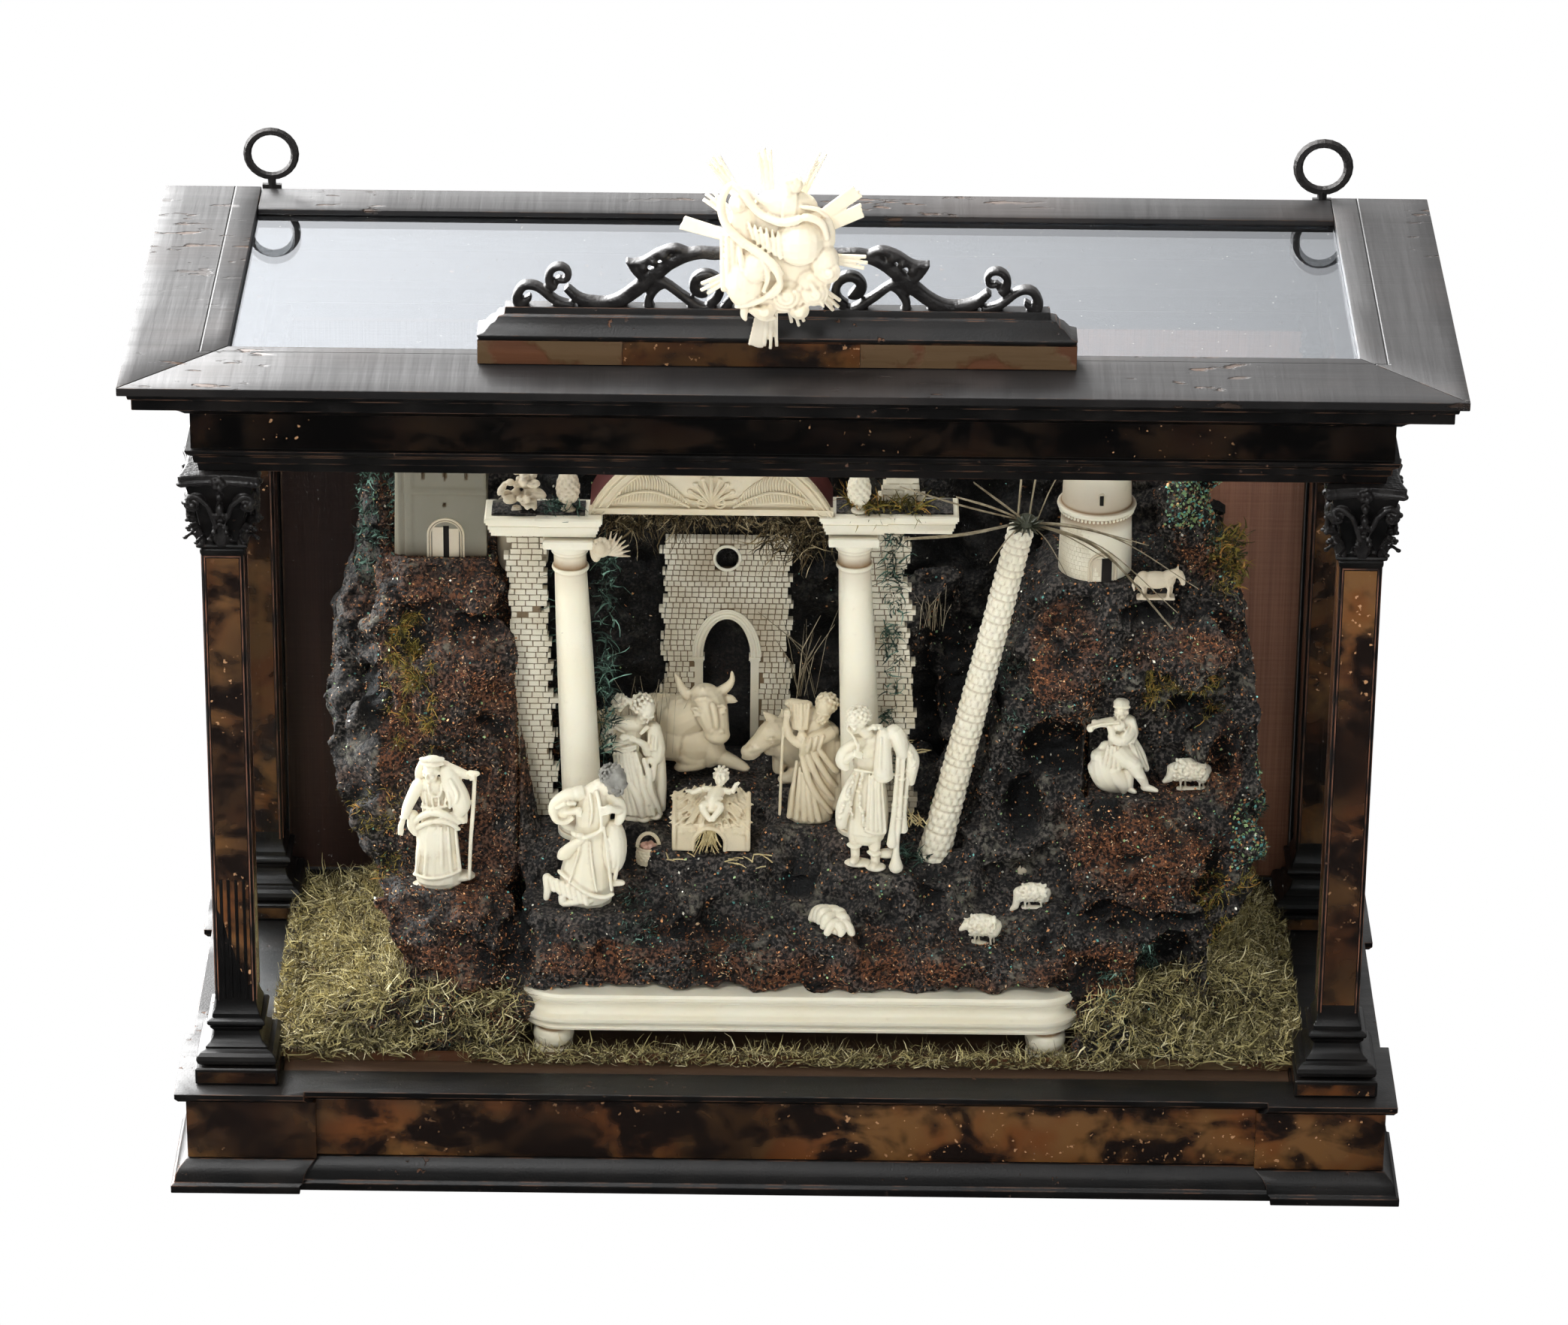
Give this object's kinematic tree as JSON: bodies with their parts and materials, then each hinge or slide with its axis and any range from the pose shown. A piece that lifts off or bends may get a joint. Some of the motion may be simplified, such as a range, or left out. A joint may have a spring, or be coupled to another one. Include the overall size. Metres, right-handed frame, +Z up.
{
  "type": "carved nativity scene",
  "caption": "Glazed case on four pillars holding a carved nativity in a cork grotto, with a hinged back door, hook latch, crest and hanging rings.",
  "frame": {"origin": "middle of the underside of the case, below the middle of the roof frame", "axes": "+X to the right seen from the front, +Y to the back, +Z up"},
  "size_m": [0.6, 0.247, 0.5312],
  "materials": {
    "ebonised_wood": "black-stained and waxed, worn to red-brown at the edges",
    "tortoiseshell": "polished shell veneer, amber patches on dark brown",
    "window_glass": "clear old glass, a little dusty",
    "stained_board": "stained softwood board",
    "wrought_iron": "blackened iron",
    "old_brass": "dull old brass",
    "cork_rock": "cork and glue crusted with brown granules and glittering flakes",
    "aged_ivory": "carved ivory, browned",
    "ivory": "carved and polished ivory",
    "silk_lining": "woven silk, faded"
  },
  "bodies": {
    "case": {"architrave": "ebonised_wood", "back_frame": "ebonised_wood", "bagpipe_shepherd": "ivory", "base_box": "tortoiseshell", "base_cap_moulding": "ebonised_wood", "base_foot_moulding": "ebonised_wood", "brick_pier": "ivory", "brick_wall": "ivory", "cornice": "ebonised_wood", "crest_base": "ebonised_wood", "crest_scrolls": "ebonised_wood", "donkey": "aged_ivory", "entablature_left": "ivory", "entablature_right": "ivory", "father_figure": "aged_ivory", "floor_board": "stained_board", "front_glass": "window_glass", "gate_wall": "ivory", "glory_cloud": "ivory", "glory_rays": "ivory", "hanging_ring_left": "wrought_iron", "hanging_ring_right": "wrought_iron", "hinge_frame_leaf": "old_brass", "house": "ivory", "ivory_stand": "ivory", "kneeling_shepherd": "ivory", "lamb_resting": "ivory", "left_glass": "window_glass", "manger_with_child": "ivory", "mother_figure": "ivory", "ox": "aged_ivory", "palm_tree": "ivory", "pillar_back_left": "tortoiseshell", "pillar_back_right": "tortoiseshell", "pillar_front_left": "tortoiseshell", "pillar_front_right": "tortoiseshell", "right_glass": "window_glass", "rock_back": "cork_rock", "rock_ground": "cork_rock", "rock_left": "cork_rock", "rock_right": "cork_rock", "roof_back_rail": "ebonised_wood", "roof_front_board": "ebonised_wood", "roof_glass": "window_glass", "roof_left_board": "ebonised_wood", "roof_right_board": "ebonised_wood", "round_tower": "ivory", "seated_musician": "ivory", "sheep_in_front": "ivory", "sheep_on_ledge": "ivory", "sheep_on_path": "ivory", "shell_frieze": "tortoiseshell", "temple_column_left": "ivory", "temple_column_right": "ivory", "temple_pediment": "ivory", "woman_with_staff": "ivory"},
    "door": {"back_door": "stained_board", "back_silk": "silk_lining", "hinge_door_leaf": "old_brass"},
    "latch": {"latch_hook": "old_brass"}
  },
  "joints": [
    {"name": "door_swing", "type": "hinge", "parent": "case", "child": "door", "pos_m": [-0.249, 0.123, 0.209], "axis": [0, 0, 1], "range_deg": [0, 110]},
    {"name": "latch_turn", "type": "hinge", "parent": "case", "child": "latch", "pos_m": [0.262, 0.12185, 0.21], "axis": [0, 1, 0], "range_deg": [0, 90]}
  ]
}
